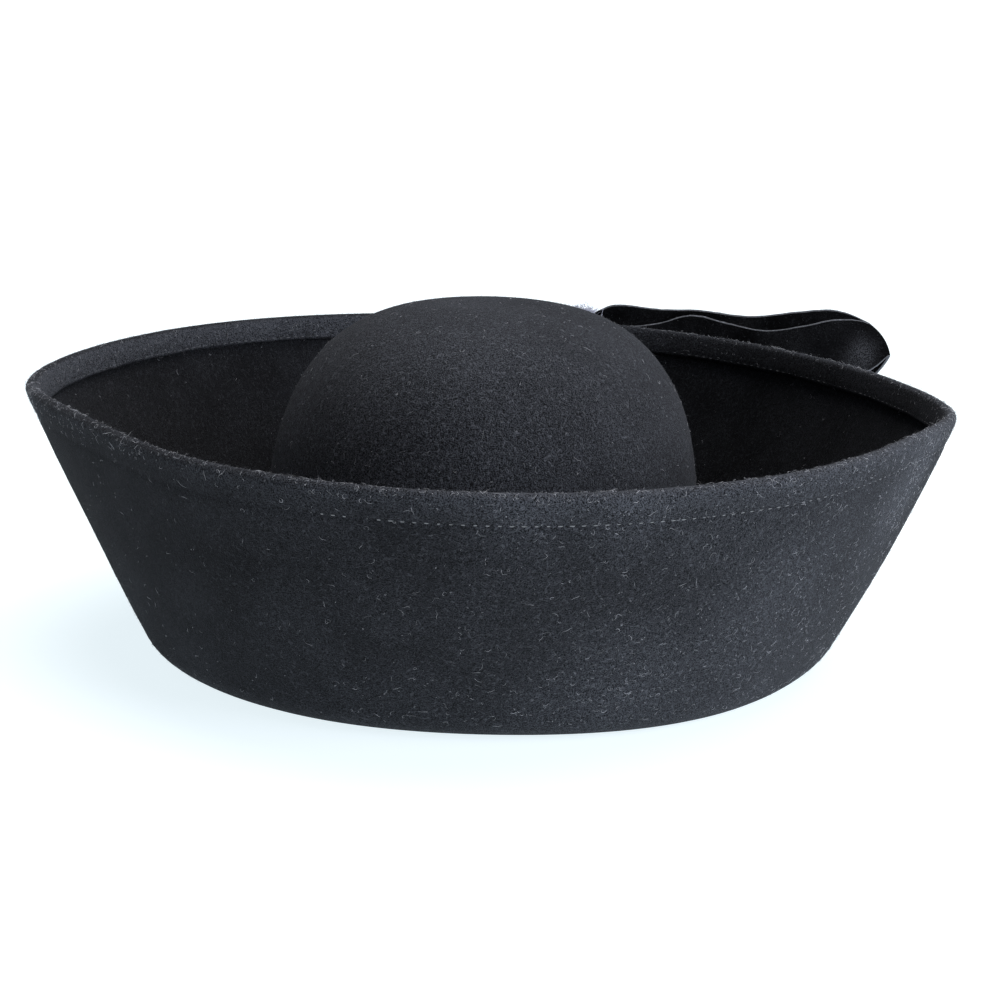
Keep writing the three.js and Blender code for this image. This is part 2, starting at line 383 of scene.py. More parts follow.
def lint_weight(middles, normals):
    """Lint gathers with the brim's dust, on its partly painted paler side too, and on the rim, and little
    lies in the hollow.
    """
    x, y = middles[:, 0] - AXIS.x, middles[:, 1] - AXIS.y
    radius = np.hypot(x, y)
    outward = (normals[:, 0] * x + normals[:, 1] * y) / (radius + 1e-9)
    dust = dust_and_light_at(radius, np.arctan2(y, x), middles[:, 2])
    weight = np.where(outward > 0.2, 0.1 + 1.5 * dust ** 2, 0.04)
    near_rim = np.exp(-(((middles[:, 2] / MM - RIM_ZONE[0]) / RIM_ZONE[1]) ** 2))
    weight += (np.where(outward > 0, 1.5, 0.2) + 3 * np.clip(normals[:, 2], 0, 1) ** 2) * near_rim
    return weight * (middles[:, 2] > LINT_LOWEST)


BRIM_AROUND = 288
DENT_DEPTH = 0.35 * MM
DENT_REACH = 1.3 * MM
FIRM_HEIGHT = 20 * MM           # lower down the felt strays less, so that the hat stands flat
HEM_HIGHLIGHT_SIDE = math.radians(160)   # the side of the turned-in hem that is painted paler: a painted highlight where the light falls on it
INSIDE_DUST = 0.02
# how much paler that side of the hem's inside is painted: painted highlight
HEM_HIGHLIGHT = 1.1


def stitch_dent(below, drop):
    """How deep the stitches draw the felt in, at a distance below the rim."""
    return DENT_DEPTH * math.exp(-(((below - drop) / DENT_REACH) ** 2))


def brim_spots(sizes):
    """All the points of the brim, a section for each step around."""
    rows = []
    for step in range(BRIM_AROUND):
        angle = 2 * math.pi * step / BRIM_AROUND
        outward = Vector((math.cos(angle), math.sin(angle), 0))
        row = []
        for spot in BrimSection(angle, sizes).spots():
            point = AXIS + outward * spot.radius + Vector((0, 0, spot.height))
            lift = strayed(point, sizes.wobble) * min(1, max(0, spot.height) / FIRM_HEIGHT)
            sign = {0: -1, 1: 1}.get(spot.inside, 0)
            dent = sign * stitch_dent(spot.below_rim, sizes.stitch_drop)
            if spot.inside <= 0.5:
                dust = dust_and_light_at(spot.radius, angle, spot.height)
            # one side of the hem's inside is painted paler: a painted highlight
            elif spot.below_rim < sizes.hem_depth:
                dust = INSIDE_DUST + HEM_HIGHLIGHT * max(0, math.cos(angle - HEM_HIGHLIGHT_SIDE))
            else:
                dust = INSIDE_DUST
            row.append((point + outward * (lift + dent), spot.below_rim, dust))
        rows.append(row)
    return rows


def build_brim(sizes):
    """The brim, one felt from the headline round the rim to the hem's raw edge."""
    rows = brim_spots(sizes)
    across = len(rows[0])
    bm = formed(BRIM_AROUND, across, lambda i, j: rows[i % BRIM_AROUND][j % across], ("below_rim", "dust"))
    piece = finish_piece("brim_felt", bm, ["wool_felt_blocked"])
    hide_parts("brim")
    return piece


CROWN_AROUND = 240
CROWN_DUST = 0.86
SHADED_SIDE = 0.33           # how much darker the crown is painted on the wearer's left, the side the window lights: painted shade
DOME_STEPS = 44
FOOT_STEPS = 4
EDGE_SOFTNESS = 0.3 * MM
FIRM_FOOT = 10 * MM         # so far up from the headline the seam holds the felt to its form
FREE_RISE = 30 * MM         # and so much further up it strays in full


def crown_profile(depth):
    """The dome from its pole down, as shares of its span, each with a height."""
    rise = TOP - depth - SPRING
    power = 2 / FULLNESS
    dome = []
    for step in range(DOME_STEPS + 1):
        turn = math.pi / 2 * (1 - step / DOME_STEPS)
        dome.append((max(0, math.cos(turn)) ** power, SPRING + rise * math.sin(turn) ** power))
    dome[0] = (0, TOP - depth)
    return dome + [(1, SPRING + (JOIN - SPRING) * step / FOOT_STEPS) for step in range(1, FOOT_STEPS)]


def build_crown(sizes):
    """The domed crown, hollow, with a softly rounded lower edge inside the brim's headline."""
    outside = [(share, height, 0) for share, height in crown_profile(0)]
    inside = [(share, height, sizes.felt) for share, height in crown_profile(sizes.felt)]
    soft = EDGE_SOFTNESS
    edge = [(1, JOIN + 2 * soft, 0), (1, JOIN + soft, soft / 2), (1, JOIN, 0.5 * sizes.felt),
            (1, JOIN + soft, sizes.felt - soft / 2)]
    profile = outside + edge + inside[::-1]

    def place(i, j):
        share, height, depth = profile[j]
        angle = 2 * math.pi * (i % CROWN_AROUND) / CROWN_AROUND
        outward = Vector((math.cos(angle), math.sin(angle), 0))
        point = AXIS + outward * ((head_radius(angle) - depth) * share) + Vector((0, 0, height))
        free = min(1, max(0, height - JOIN - FIRM_FOOT) / FREE_RISE)
        point += outward * (strayed(point, sizes.wobble) * free * share)
        # the crown is painted darker on the wearer's left: painted shade
        return point, FAR_BELOW, CROWN_DUST * (1 - SHADED_SIDE * max(0, math.cos(angle)))

    bm = formed(CROWN_AROUND, len(profile) - 1, place, ("below_rim", "dust"))
    piece = finish_piece("crown_felt", bm, ["wool_felt_blocked"])
    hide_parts("crown")
    return piece


def bow_matrix():
    """The bow's own axes: along the brim, off it, and up its slope, from the wall's outside."""
    foot, reach, height = brim_at(math.pi / 2)
    lean = math.atan2(reach - foot, height)
    share = BOW_HEIGHT / height
    wall = foot + (reach - foot) * share + swell_at(share)
    place = AXIS + Vector((BOW_SHIFT, wall, BOW_HEIGHT))
    return Matrix.Translation(place) @ Matrix.Rotation(-lean, 4, "X")


def fold_point(points, position):
    """A point of an open, centripetal curve through the folds."""
    last = len(points) - 1
    index = min(int(position), last - 1)
    before = points[index - 1] if index else points[0] * 2 - points[1]
    after = points[index + 2] if index + 2 <= last else points[last] * 2 - points[last - 1]
    near = [before, points[index], points[index + 1], after]
    knots = [max((near[k + 1] - near[k]).length, 1e-6) ** 0.5 for k in range(3)]
    return curve_point(*near, position - index, knots)


LOOP_STEPS = 150
STRIP_STEPS = 16
STRIP_CUT = (34 * MM, 311 * MM)
PLEATS = 2.5
PLEAT_DEPTH = 1.3 * MM
PLEAT_REACH = 22 * MM       # how far from the knot the pleats fade out
PLEAT_START = 3 * MM
HIGHLIGHT_FOLD = 7.8           # where, counted in folds, the loop's face is painted pale: a painted highlight where it turns towards the window
END_FOLD = 9.2              # where, counted in folds, the loop turns back, rounded across the strip
END_ROUNDING = 1.8 * MM
NUDGE = 0.02                # small step along and across the strip, to find which way it faces
EDGE_BEVEL = 0.42           # rounding of the cut edges, as a share of the felt's thickness
FRAYING = 0.25              # unevenness of the cut edges in mm, far from the knot
MORE_FRAYING = 1.2          # and how much more there is beside it
FRAY_REACH = 14 * MM
FRAY_SIZE = 2.5 * MM


def strip_point(edges, position, rise):
    """A point of the strip's middle surface, gathered into pleats beside the knot."""
    top, foot = (fold_point(points, position) for points in edges)
    point = foot.lerp(top, rise)
    clear = max(0, abs(point.x) - KNOT_WIDTH / 2)
    fade = math.exp(-((clear / PLEAT_REACH) ** 2)) * min(1, clear / PLEAT_START)
    point.y += PLEAT_DEPTH * fade * math.cos(2 * math.pi * PLEATS * rise)
    rounded = 4 * rise * (1 - rise) * math.exp(-(((position - END_FOLD) / 1.1) ** 2))
    point += Vector((math.copysign(0.82, point.x), 0, 0.57)) * (END_ROUNDING * rounded)
    return point


def loop_edges(side, droop):
    """The folds of a loop's two edges, in the bow's axes."""
    top, foot = [], []
    for top_at, top_height, foot_at, foot_height, out in LOOP_FOLDS:
        for edge, at, height in ((top, top_at, top_height), (foot, foot_at, foot_height)):
            fall = math.tan(droop) * max(0, at * MM - KNOT_WIDTH / 2)
            edge.append(Vector((side * at * MM, out * MM, height * MM - fall)))
    return top, foot


def build_loop(name, side, droop, sizes):
    """One loop of the bow: a flat strip with cut edges, bent through its folds."""
    edges = loop_edges(side, droop)
    matrix = bow_matrix()
    last = len(LOOP_FOLDS) - 1
    bm = bmesh.new()
    width, long = STRIP_CUT
    bmesh.ops.create_grid(bm, x_segments=LOOP_STEPS, y_segments=STRIP_STEPS, size=0.5)
    bmesh.ops.scale(bm, vec=(long, width, 1), verts=bm.verts)
    bmesh.ops.solidify(bm, geom=bm.faces[:], thickness=sizes.bow_felt)
    bm.normal_update()
    cut = [edge for edge in bm.edges if edge.calc_face_angle(0) > 1]
    bmesh.ops.bevel(bm, geom=cut, offset=EDGE_BEVEL * sizes.bow_felt, offset_type="OFFSET", segments=3,
                    profile=0.5, affect="EDGES", material=-1)
    bm.normal_update()
    low = min(vert.co.z for vert in bm.verts)
    painted_highlight = bm.verts.layers.float.new("dust")
    for face in bm.faces:
        face.material_index = 1 if abs(face.normal.z) < 0.98 else 0
    for vert in bm.verts:
        share = min(1, max(0, vert.co.x / long + 0.5))
        rise = min(1, max(0, vert.co.y / width + 0.5))
        through = vert.co.z - low - sizes.bow_felt / 2
        position = share * last
        point = strip_point(edges, position, rise)
        ahead = strip_point(edges, min(last, position + NUDGE), rise)
        behind = strip_point(edges, max(0, position - NUDGE), rise)
        upper = strip_point(edges, position, min(1, rise + NUDGE))
        lower = strip_point(edges, position, max(0, rise - NUDGE))
        normal = (ahead - behind).cross(upper - lower).normalized()
        frayed = FRAYING + MORE_FRAYING * math.exp(-((abs(point.x) - KNOT_WIDTH / 2) / FRAY_REACH) ** 2)
        ragged = frayed * MM * noise.noise(matrix @ point / FRAY_SIZE) * abs(2 * rise - 1) ** 8
        # a painted highlight on the loop's face near its end
        vert[painted_highlight] = math.exp(-(((position - HIGHLIGHT_FOLD) / 0.5) ** 2) - ((rise - 0.35) / 0.3) ** 2)
        point += (upper - lower).normalized() * ragged
        vert.co = matrix @ (point + normal * through)
    bmesh.ops.recalc_face_normals(bm, faces=bm.faces)
    piece = finish_piece(name + "_felt", bm, ["wool_felt_pressed", "wool_felt_cut_edge"])
    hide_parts(name)
    return piece


KNOT_AROUND = 72
KNOT_STEPS = 12
KNOT_INNER_STEPS = 8
KNOT_CREASE = 0.35 * MM
KNOT_ROLL = 2 * MM          # how far from its ends the band starts to roll in
ROLL_TUCK = 0.2 * MM


def build_knot(sizes):
    """The band round the bow's middle, creased along its length, with rolled ends."""
    matrix = bow_matrix()
    half = KNOT_WIDTH / 2
    felt = sizes.bow_felt
    flat, tucked = KNOT_WIDTH - 2 * KNOT_ROLL, KNOT_WIDTH - 2 * ROLL_TUCK
    outside = [(-half + ROLL_TUCK, 0.6 * felt), (-half, 0.4 * felt)]
    outside += [(-half + KNOT_ROLL + flat * step / KNOT_STEPS, 0.05 * MM) for step in range(KNOT_STEPS + 1)]
    outside += [(half, 0.4 * felt), (half - ROLL_TUCK, 0.6 * felt)]
    inside = [(half - ROLL_TUCK - tucked * step / KNOT_INNER_STEPS, felt)
              for step in range(KNOT_INNER_STEPS + 1)]
    profile = outside + inside

    def squared(value):
        return math.copysign(abs(value) ** (2 / KNOT_SQUARENESS), value)

    def place(i, j):
        along, inset = profile[j % len(profile)]
        angle = 2 * math.pi * (i % KNOT_AROUND) / KNOT_AROUND
        crease = KNOT_CREASE * math.cos(3 * math.pi * along / half + 2 * math.sin(2 * angle))
        inset += max(0, crease) if inset < felt else 0
        depth = KNOT_GAP + KNOT_DEPTH / 2 + (KNOT_DEPTH / 2 - inset) * squared(math.cos(angle))
        height = KNOT_MIDDLE + (KNOT_HEIGHT / 2 - inset) * squared(math.sin(angle))
        return matrix @ Vector((along, depth, height)), 0

    bm = formed(KNOT_AROUND, len(profile), place, ("dust",))
    piece = finish_piece("bow_knot_felt", bm, ["wool_felt_pressed"])
    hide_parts("bow_knot")
    return piece


ASKEW = np.array([0.31, 0.52, 0.79])    # a direction that no fibre runs in exactly


def joined_strands(name, lines, radii, material):
    """Many fibres as one mesh: each is a thin three-sided tube along its line, closed at both ends."""
    lines = np.asarray(lines)
    count, steps = lines.shape[:2]
    along = np.gradient(lines, axis=1)
    along /= np.linalg.norm(along, axis=2, keepdims=True) + 1e-12
    aside = np.cross(along, ASKEW)
    aside /= np.linalg.norm(aside, axis=2, keepdims=True) + 1e-12
    third = np.cross(along, aside)
    taper = np.sin(np.linspace(0.25, 0.9, steps) * math.pi)[None, :, None] * np.asarray(radii)[:, None, None]
    rings = [lines + taper * (aside * math.cos(turn) + third * math.sin(turn))
             for turn in (0, 2 * math.pi / 3, 4 * math.pi / 3)]
    points = np.stack(rings, axis=2).reshape(-1, 3)
    ring = np.arange(3)
    start = (np.arange(count) * steps * 3)[:, None, None, None]
    step = (np.arange(steps - 1) * 3)[None, :, None, None]
    sides = start + step + np.stack([ring, (ring + 1) % 3, (ring + 1) % 3 + 3, ring + 3], axis=1)[None, None]
    ends = start[:, 0, 0]
    caps = np.concatenate([ends + ring[::-1], ends + (steps - 1) * 3 + ring])
    mesh = bpy.data.meshes.new(name)
    mesh.from_pydata(points.tolist(), [], sides.reshape(-1, 4).tolist() + caps.tolist())
    mesh.update()
    return finish_mesh(name, mesh, [material])


def scattered(piece, count, seed, weigh=None):
    """Random points on a piece, area by area, with their normals and a sideways direction."""
    rng = np.random.default_rng(seed)
    mesh = piece.data
    mesh.calc_loop_triangles()
    corners = np.empty(len(mesh.loop_triangles) * 3, dtype=np.int64)
    mesh.loop_triangles.foreach_get("vertices", corners)
    places = np.empty(len(mesh.vertices) * 3)
    mesh.vertices.foreach_get("co", places)
    a, b, c = places.reshape(-1, 3)[corners].reshape(-1, 3, 3).transpose(1, 0, 2)
    cross = np.cross(b - a, c - a)
    area = np.linalg.norm(cross, axis=1)
    normals = cross / (area[:, None] + 1e-15)
    weight = area if weigh is None else area * weigh((a + b + c) / 3, normals)
    picked = rng.choice(len(area), size=count, p=weight / weight.sum())
    u, v = rng.random((2, count, 1))
    flip = u + v > 1
    u, v = np.where(flip, 1 - u, u), np.where(flip, 1 - v, v)
    roots = a[picked] + (b[picked] - a[picked]) * u + (c[picked] - a[picked]) * v
    normal = normals[picked]
    aside = np.cross(normal, rng.normal(size=(count, 3)))
    aside /= np.linalg.norm(aside, axis=1, keepdims=True)
    return roots, normal, aside, rng


# Fibres' lengths and radii in mm, drawn thicker than wool's 0.02 mm so that they show
NAP_LENGTHS = (0.5, 1.7)
NAP_RADII = (0.03, 0.06)
LINT_LENGTHS = (0.7, 4.4)
LINT_RADII = (0.03, 0.072)
LINT_CURL = 1.3
LINT_LIFT = 0.08 * MM
LINT_STEPS = 6


def lay_nap(name, piece, count, seed, weigh=None):
    """Fine short fibres that lean out of the felt."""
    roots, normal, aside, rng = scattered(piece, count, seed, weigh)
    size = rng.uniform(*NAP_LENGTHS, (count, 1)) * MM
    lift = rng.uniform(0.1, 0.75, (count, 1))
    tips = roots + (normal * lift + aside * np.sqrt(1 - lift ** 2)) * size
    lines = np.stack([roots - normal * 0.1 * MM, tips], axis=1)
    return joined_strands(name, lines, rng.uniform(*NAP_RADII, count) * MM, "wool_nap")


def lay_lint(name, piece, count, seed, weigh=None):
    """Longer fibres that lie curled on the felt, most of them short."""
    roots, normal, aside, rng = scattered(piece, count, seed, weigh)
    other = np.cross(normal, aside)
    shortest, longest = LINT_LENGTHS
    size = shortest + (longest - shortest) * rng.random(count) ** 2.5
    bend = rng.normal(0, LINT_CURL, count)
    wave = rng.normal(0, 0.5, (count, LINT_STEPS))
    arched = np.abs(rng.normal(0, 0.25, count)) * MM
    line = [roots]
    heading = np.zeros(count)
    for step in range(1, LINT_STEPS):
        heading = heading + bend * 0.5 + wave[:, step]
        move = aside * np.cos(heading)[:, None] + other * np.sin(heading)[:, None]
        line.append(line[-1] + move * (size * MM / (LINT_STEPS - 1))[:, None])
    arch = np.sin(np.linspace(0, 1, LINT_STEPS) * math.pi)
    lift = LINT_LIFT + arched[:, None, None] * arch[None, :, None]
    lines = np.stack(line, axis=1) + normal[:, None] * lift
    return joined_strands(name, lines, rng.uniform(*LINT_RADII, count) * MM, "lint_fibre")


NAP_LOWEST = 4      # mm above the table
NAP_ZONE = (106, 6)


def nap_weight(middles, normals):
    """Nap stands thickest on the rim, and none lies under the ring that the hat stands on."""
    height = middles[:, 2] / MM
    return np.where(height > NAP_LOWEST, 0.5 + 4 * np.exp(-(((height - NAP_ZONE[0]) / NAP_ZONE[1]) ** 2)), 0)


SEWN_STEPS = 360
INSIDE_THREAD = 0.19        # the inside row's radius as a share of the thread: it is sunk and hardly shows
SUNK = 0.18 * MM
HIDDEN_STITCHES = 225       # degrees round the row: here the nap has closed over the stitches
HIDDEN_REACH = 38
HIDDEN_DEPTH = 0.4 * MM


def build_stitches(sizes):
    """A row of stitches through the hem, all round, with the same row on the inside."""
    angles = [2 * math.pi * step / SEWN_STEPS for step in range(SEWN_STEPS + 1)]
    drop = sizes.stitch_drop - sizes.felt
    lines = []
    outer = 0
    for depth, sign in ((0, -1), (2 * sizes.felt, 1)):
        ring = []
        for angle in angles:
            section = BrimSection(angle, sizes)
            radius, height = section.wall_point(drop, depth)
            outward = Vector((math.cos(angle), math.sin(angle), 0))
            point = AXIS + outward * radius + Vector((0, 0, height))
            lift = strayed(point, sizes.wobble) + sign * DENT_DEPTH
            ring.append((point + outward * lift, outward * -sign))
        far = np.cumsum([0] + [(ring[k + 1][0] - ring[k][0]).length for k in range(SEWN_STEPS)])
        count = round(far[-1] / sizes.stitch_pitch)
        for stitch in range(count):
            lines.append(stitch_line(ring, far, far[-1] * stitch / count, stitch, sizes))
        outer = outer or count
    radii = np.where(np.arange(len(lines)) < outer, 0.5, INSIDE_THREAD) * sizes.thread
    return joined_strands("hem_stitches", lines, radii, "thread_spun")


def stitch_line(ring, far, start, stitch, sizes):
    """One stitch: up out of the felt, along it and down again, sunk more or less into the nap."""
    sunk = SUNK * (0.8 + noise.noise(Vector((start * 40, stitch * 0.4, 2))))
    away = (start / far[-1] * 360 - HIDDEN_STITCHES) % 360
    sunk += HIDDEN_DEPTH * math.exp(-((min(away, 360 - away) / HIDDEN_REACH) ** 4))
    line = []
    for share in (0, 0.12, 0.3, 0.5, 0.7, 0.88, 1):
        at = min(start + sizes.stitch_length * share, far[-1] - 1e-9)
        index = int(np.searchsorted(far, at, side="right")) - 1
        part = (at - far[index]) / (far[index + 1] - far[index])
        point = ring[index][0].lerp(ring[index + 1][0], part)
        rise = sizes.thread * (0.75 * math.sin(math.pi * share) ** 0.5 - 0.35) - sunk
        line.append(tuple(point + ring[index][1] * rise))
    return line


# Tuft of lint: its middle in the bow's axes, its spread, one step of a fibre and the radii, in mm
TUFT_MIDDLE = (6, 9, 15.5)
TUFT_SPREAD = (4.2, 2.2, 1.4)
TUFT_STEP = 0.5
TUFT_RADII = (0.09, 0.15)
TUFT_FIBRES = 700
TUFT_STEPS = 7


def build_tuft():
    """A small tangle of pale lint that clings to the bow beside its knot."""
    rng = np.random.default_rng(21)
    middle = np.array(bow_matrix() @ (Vector(TUFT_MIDDLE) * MM))
    line = [middle + rng.normal(0, 1, (TUFT_FIBRES, 3)) * np.array(TUFT_SPREAD) * MM]
    heading = rng.normal(size=(TUFT_FIBRES, 3))
    for _ in range(1, TUFT_STEPS):
        heading = heading + rng.normal(0, 0.8, (TUFT_FIBRES, 3))
        line.append(line[-1] + heading / np.linalg.norm(heading, axis=1, keepdims=True) * TUFT_STEP * MM)
    radii = rng.uniform(*TUFT_RADII, TUFT_FIBRES) * MM
    return joined_strands("bow_lint_tuft", np.stack(line, axis=1), radii, "lint_matted")


def add_node(tree, kind, inputs=None, settings=None, output=0):
    """Adds a node with its settings, joins or sets its inputs, and gives one of its outputs."""
    made = tree.nodes.new(kind)
    for name, value in (settings or {}).items():
        setattr(made, name, value)
    for key, value in (inputs or {}).items():
        if isinstance(value, bpy.types.NodeSocket):
            tree.links.new(value, made.inputs[key])
        else:
            made.inputs[key].default_value = value
    return made.outputs[output] if made.outputs else None


MATH, RANGE, NOISE, MIX = "ShaderNodeMath", "ShaderNodeMapRange", "ShaderNodeTexNoise", "ShaderNodeMix"
PLACE, ATTRIBUTE = "ShaderNodeTexCoord", "ShaderNodeAttribute"
SURFACE, OUTPUT = "ShaderNodeBsdfPrincipled", "ShaderNodeOutputMaterial"
TIMES, TIMES_PLUS, PLUS = {"operation": "MULTIPLY"}, {"operation": "MULTIPLY_ADD"}, {"operation": "ADD"}
MIX_COLOURS = {"data_type": "RGBA"}
MIX_FROM, MIX_TO, MIXED = 6, 7, 2       # the mix node's sockets for colours
SEEDED = {"noise_dimensions": "4D"}

GRAIN = 0.44 * MM           # tufts of the felt's surface, coarser than wool so that they show
LUMPS = 4 * MM
BLOTCHES = 26 * MM
FIBRE_CURLS = (2.6 * MM, 4.5 * MM)
FIBRE_BREAKS = 1.6 * MM
FELT_BUMP = 0.22 * MM
WORN_REACH = 13 * MM        # how far down from the rim the felt is worn


def tufts(tree, place, seed, size, low, high, detail=2.0):
    """Soft-edged spots of a size, from 0 to 1: where a noise passes from low to high."""
    wave = add_node(tree, NOISE, {"Vector": place, "W": seed, "Scale": 1 / size, "Detail": detail}, SEEDED)
    return add_node(tree, RANGE, {"Value": wave, "From Min": low, "From Max": high})


def felt_pattern(tree, seed):
    """Grain, blotches, lumps and single curled fibres of felt, as four shares from 0 to 1.

    The fibres run where a noise passes its middle, and another noise breaks them into short pieces."""
    place = add_node(tree, PLACE, output="Object")
    grain = tufts(tree, place, seed, GRAIN, 0.4, 0.64)
    blotch = tufts(tree, place, seed + 1, BLOTCHES, 0.38, 0.62, 4.0)
    lump = tufts(tree, place, seed + 2, LUMPS, 0.3, 0.7)
    fibres = 0.0
    for number, size in enumerate(FIBRE_CURLS):
        wave = add_node(tree, NOISE, {"Vector": place, "W": seed + 3 + number, "Scale": 1 / size,
                                      "Detail": 1.0, "Distortion": 1.2}, SEEDED)
        off_middle = add_node(tree, MATH, {0: wave, 1: 0.5}, {"operation": "SUBTRACT"})
        off_middle = add_node(tree, MATH, {0: off_middle}, {"operation": "ABSOLUTE"})
        line = add_node(tree, RANGE, {"Value": off_middle, "From Min": 0.03, "From Max": 0.008})
        whole = tufts(tree, place, seed + 5 + number, FIBRE_BREAKS, 0.52, 0.6, 0.0)
        line = add_node(tree, MATH, {0: line, 1: whole}, TIMES)
        fibres = add_node(tree, MATH, {0: line, 1: fibres}, {"operation": "MAXIMUM"})
    return grain, blotch, lump, fibres


def felt_surface(tree, tones, share, strand, height, sheen, gloss):
    """The felt's shader: rough, between two tones, with pale fibres over them and the sheen of wool."""
    dark, light, fibre = ((*tone, 1) for tone in tones)
    tone = add_node(tree, MIX, {0: share, MIX_FROM: dark, MIX_TO: light}, MIX_COLOURS, MIXED)
    tone = add_node(tree, MIX, {0: strand, MIX_FROM: tone, MIX_TO: fibre}, MIX_COLOURS, MIXED)
    bump = add_node(tree, "ShaderNodeBump", {"Height": height, "Distance": FELT_BUMP, "Strength": 1.0})
    shader = add_node(tree, SURFACE, {
        "Base Color": tone, "Roughness": 0.95, "Specular IOR Level": gloss, "Sheen Weight": sheen,
        "Sheen Roughness": 0.4, "Sheen Tint": (*linear("eff3ff"), 1), "Normal": bump})
    add_node(tree, OUTPUT, {"Surface": shader})


def blocked_wool(tree, colours):
    """Wool felt, steamed over a block: near black, dusty in its grain, with pale fibres felted in. Its dust
    share also carries painted light: a paler side of the brim that is partly dust and partly painted light, a
    painted highlight on one side of the hem's inside, and a painted shade on the crown's left.

    It is worn and lighter along the folded rim."""
    grain, blotch, lump, fibre = felt_pattern(tree, 3.0)
    below = add_node(tree, ATTRIBUTE, None, {"attribute_name": "below_rim"}, "Fac")
    dust = add_node(tree, ATTRIBUTE, None, {"attribute_name": "dust"}, "Fac")
    worn = add_node(tree, RANGE, {"Value": below, "From Min": WORN_REACH, "From Max": 0.0})
    worn = add_node(tree, MATH, {0: worn, 1: 1.8}, {"operation": "POWER"})
    rim_dust_and_light = add_node(tree, MATH, {0: dust, 1: 0.7, 2: 0.45}, TIMES_PLUS)
    share = 0.1
    # the dust share brings in the painted highlight on the hem, the painted shade on the crown and the brim's
    # partly painted paler side
    for part, weight in ((blotch, 0.2), (dust, 0.78), (worn, rim_dust_and_light)):
        share = add_node(tree, MATH, {0: part, 1: weight, 2: share}, TIMES_PLUS)
    share = add_node(tree, MATH, {0: share, 1: grain}, {"operation": "MULTIPLY", "use_clamp": True})
    strand = add_node(tree, MATH, {0: dust, 1: 0.16, 2: 0.05}, TIMES_PLUS)
    strand = add_node(tree, MATH, {0: fibre, 1: strand}, TIMES)
    height = add_node(tree, MATH, {0: lump, 1: 0.8, 2: grain}, TIMES_PLUS)
    height = add_node(tree, MATH, {0: height, 1: fibre}, PLUS)
    felt_surface(tree, (colours.felt, colours.felt_light, colours.fibre), share, strand, height, 0.06, 0.05)


def pressed_wool(tree, colours):
    """Thin pressed wool felt: deeper black than the hat's, smooth, with hardly any dust, and a painted
    highlight where a loop's face turns near its end.
    """
    grain, blotch, lump, fibre = felt_pattern(tree, 11.0)
    dust = add_node(tree, ATTRIBUTE, None, {"attribute_name": "dust"}, "Fac")
    # the dust share here is the painted highlight on the loop's face
    share = add_node(tree, MATH, {0: blotch, 1: 0.18, 2: dust}, TIMES_PLUS)
    share = add_node(tree, MATH, {0: grain, 1: share}, TIMES)
    strand = add_node(tree, MATH, {0: fibre, 1: 0.02}, TIMES)
    height = add_node(tree, MATH, {0: lump, 1: 0.5, 2: grain}, TIMES_PLUS)
    felt_surface(tree, (colours.bow, colours.bow_light, colours.fibre), share, strand, height, 0.01, 0.02)


def cut_wool_and_highlight(tree, colours):
    """Edge of cut felt, paler than the face: partly the wool's open fibres, partly a painted highlight along
    the edge.
    """
    grain, blotch, lump, fibre = felt_pattern(tree, 17.0)
    strand = add_node(tree, MATH, {0: fibre, 1: 0.4}, TIMES)
    height = add_node(tree, MATH, {0: lump, 1: blotch}, PLUS)
    felt_surface(tree, (colours.bow_light, colours.bow_edge_and_highlight, colours.fibre), grain, strand, height, 0.2, 0.08)


STRAND_TONES = 3 * MM       # size of the places where strands are alike in tone


def spun_fibre(tree, colours, tone, roughness, sheen, dimmest):
    """A fibre's surface: one colour, dimmed here and there to a share of itself."""
    pale = getattr(colours, tone)
    dim = [channel * dimmest for channel in pale]
    place = add_node(tree, PLACE, output="Object")
    wave = add_node(tree, NOISE, {"Vector": place, "Scale": 1 / STRAND_TONES, "Detail": 2.0})
    share = add_node(tree, RANGE, {"Value": wave, "From Min": 0.3, "From Max": 0.7})
    mixed = add_node(tree, MIX, {0: share, MIX_FROM: (*dim, 1), MIX_TO: (*pale, 1)}, MIX_COLOURS, MIXED)
    shader = add_node(tree, SURFACE, {"Base Color": mixed, "Roughness": roughness,
                                      "Specular IOR Level": 0.3, "Sheen Weight": sheen})
    add_node(tree, OUTPUT, {"Surface": shader})


def sweep_paper(tree, colours):
    """Translucent white paper, matte, lit softly from below as on a light table."""
    shader = add_node(tree, SURFACE, {
        "Base Color": (*linear("9fa1a3"), 1), "Roughness": 0.9, "Specular IOR Level": 0.1,
        "Emission Color": (*linear("ebf7fc"), 1), "Emission Strength": 0.92})
    add_node(tree, OUTPUT, {"Surface": shader})


# Each material's surface, and for fibres their colour, roughness, sheen and dimmest share
MATERIALS = {
    "wool_felt_blocked": (blocked_wool,),
    "wool_felt_pressed": (pressed_wool,),
    "wool_felt_cut_edge": (cut_wool_and_highlight,),
    "wool_nap": (spun_fibre, "felt_light", 0.8, 0.2, 0.35),     # single wool fibres, black to grey
    "lint_fibre": (spun_fibre, "lint", 0.85, 0.1, 0.25),        # cotton and wool lint, pale grey and matte
    "lint_matted": (spun_fibre, "tuft", 0.9, 0.1, 0.6),         # matted lint, faintly violet
    "thread_spun": (spun_fibre, "thread", 0.55, 0.2, 0.5),      # spun thread, grey and a little glossy
    "paper_sweep": (sweep_paper,),
}


def material_of(name):
    """The material of a name, made when it is first asked for."""
    material = bpy.data.materials.get(name)
    if not material:
        material = bpy.data.materials.new(name)
        material.use_nodes = True
        material.node_tree.nodes.clear()
        fill, *settings = MATERIALS[name]
        fill(material.node_tree, bpy.context.scene.hat_colours, *settings)
    return material


LOOKED_AT = Vector((5.99, 2.56, 57.3)) * MM     # from where the crown's axis meets the table


